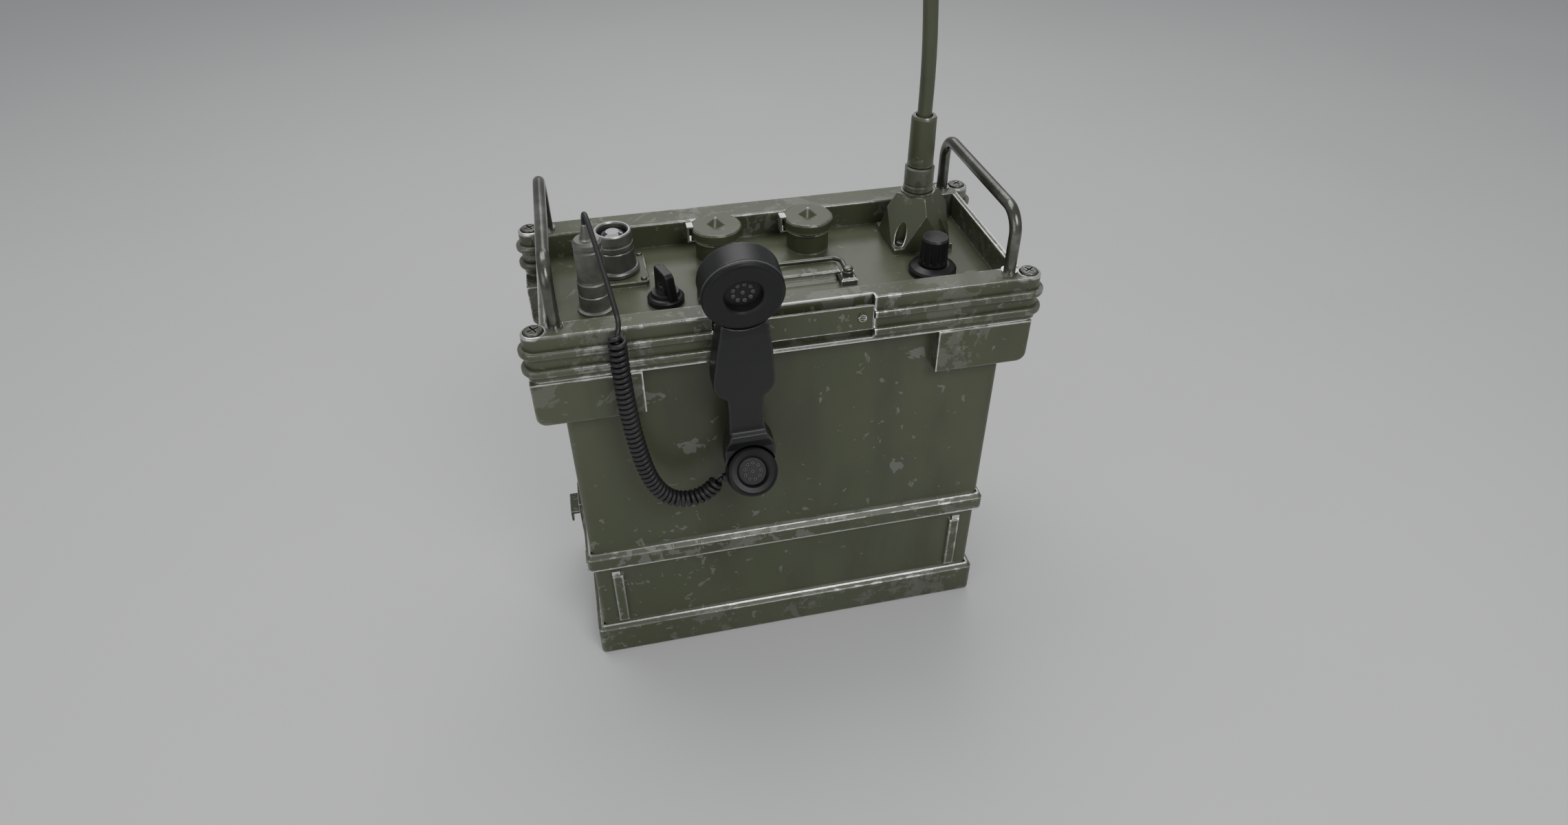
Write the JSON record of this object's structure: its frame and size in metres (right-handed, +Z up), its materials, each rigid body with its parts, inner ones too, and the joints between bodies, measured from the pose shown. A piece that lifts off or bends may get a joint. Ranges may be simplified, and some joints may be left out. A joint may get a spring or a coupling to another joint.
{
  "type": "backpack radio transceiver",
  "caption": "Olive metal backpack radio transceiver with a ribbed top flange, guard handles, capped sockets, knobs, antenna and a handset on a curly cord.",
  "frame": {"origin": "middle of the base's underside", "axes": "+X to the right as seen from the handset side, +Y to the back, +Z up"},
  "size_m": [0.2874, 0.1542, 0.6289],
  "materials": {
    "olive_paint": "satin olive drab paint, worn to grey metal along edges",
    "worn_steel": "worn grey steel",
    "dark_metal": "dark worn metal",
    "black_plastic": "satin black moulding",
    "black_rubber": "matt black rubber",
    "lens_glass": "dark smoked glass",
    "inner_metal": "plain",
    "board": "circuit board",
    "battery_case": "plain"
  },
  "bodies": {
    "root": {"base_pan": "olive_paint", "battery_box": "olive_paint", "middle_rim": "olive_paint", "main_case": "olive_paint", "top_flange": "olive_paint", "top_panel": "olive_paint", "corner_brackets": "olive_paint", "retaining_bars": "olive_paint", "hanger_plate": "olive_paint", "antenna_base": "olive_paint", "capped_sockets": "olive_paint", "display_housing": "olive_paint", "latch_bases": "olive_paint", "lamp_plate": "olive_paint", "corner_screws": "worn_steel", "handle_left": "worn_steel", "handle_right": "worn_steel", "hanger_screws": "worn_steel", "panel_screws": "worn_steel", "cap_straps": "worn_steel", "wire_guard": "worn_steel", "latch_pins": "worn_steel", "lamp_barrel": "dark_metal", "audio_socket": "dark_metal", "audio_plug": "dark_metal", "plug_relief": "dark_metal", "guard_posts": "dark_metal", "volume_collar": "black_plastic", "cord_lead": "black_rubber", "cord_coil": "black_rubber", "battery_gasket": "black_rubber", "panel_gasket": "black_rubber", "lamp_bulb": "lens_glass", "display_window": "lens_glass", "chassis": "inner_metal", "switch_bodies": "inner_metal", "circuit_boards": "board", "battery_pack": "battery_case"},
    "selector": {"selector_knob": "black_plastic", "selector_shaft": "worn_steel"},
    "volume": {"volume_knob": "black_plastic", "volume_shaft": "worn_steel"},
    "left_cap": {"dust_cap_left": "olive_paint"},
    "right_cap": {"dust_cap_right": "olive_paint"},
    "lamp_shutter": {"lamp_bezel": "dark_metal", "lamp_lens": "lens_glass"},
    "left_latch": {"latch_left": "olive_paint"},
    "right_latch": {"latch_right": "olive_paint"},
    "coupling": {"antenna_coupling": "olive_paint"},
    "whip": {"antenna_ferrule": "olive_paint", "antenna_whip": "olive_paint", "antenna_tip": "olive_paint"},
    "handset": {"handset_body": "black_plastic", "earpiece_cap": "black_plastic", "mouthpiece_cap": "black_plastic", "handset_capsules": "inner_metal", "talk_spring": "worn_steel", "handset_hook": "worn_steel", "handset_boot": "black_rubber"},
    "talk": {"talk_button": "black_plastic"}
  },
  "joints": [
    {"name": "selector_turn", "type": "hinge", "parent": "root", "child": "selector", "pos_m": [-0.063, -0.017, 0.245], "axis": [0, 0, 1], "range_deg": [-60, 60]},
    {"name": "volume_turn", "type": "hinge", "parent": "root", "child": "volume", "pos_m": [0.0923, -0.02, 0.245], "axis": [0, 0, 1], "range_deg": [-140, 140]},
    {"name": "left_cap_turn", "type": "hinge", "parent": "root", "child": "left_cap", "pos_m": [-0.0266, 0.027, 0.26], "axis": [0, 0, 1], "range_deg": [0, 90]},
    {"name": "right_cap_turn", "type": "hinge", "parent": "root", "child": "right_cap", "pos_m": [0.0289, 0.027, 0.26], "axis": [0, 0, 1], "range_deg": [0, 90]},
    {"name": "lamp_shutter_turn", "type": "hinge", "parent": "root", "child": "lamp_shutter", "pos_m": [-0.0871, 0.018, 0.263], "axis": [0, 0, 1], "range_deg": [0, 90]},
    {"name": "left_latch_swing", "type": "hinge", "parent": "root", "child": "left_latch", "pos_m": [-0.1314, 0, 0.034], "axis": [0, -1, 0], "range_deg": [0, 100]},
    {"name": "right_latch_swing", "type": "hinge", "parent": "root", "child": "right_latch", "pos_m": [0.1314, 0, 0.034], "axis": [0, 1, 0], "range_deg": [0, 100]},
    {"name": "coupling_turn", "type": "hinge", "parent": "root", "child": "coupling", "pos_m": [0.0946, 0.0205, 0.285], "axis": [0, 0, 1], "range_deg": [0, 270]},
    {"name": "whip_lift", "type": "slide", "parent": "root", "child": "whip", "axis": [0, 0, 1], "range_m": [0, 0.03]},
    {"name": "handset_lift", "type": "slide", "parent": "root", "child": "handset", "axis": [0, 0, 1], "range_m": [0, 0.03]},
    {"name": "talk_press", "type": "slide", "parent": "handset", "child": "talk", "axis": [0, -1, 0], "range_m": [0, 0.0014], "stiffness_N_per_m": 500, "springref_m": -0.001, "deforming": ["talk_spring"]}
  ]
}
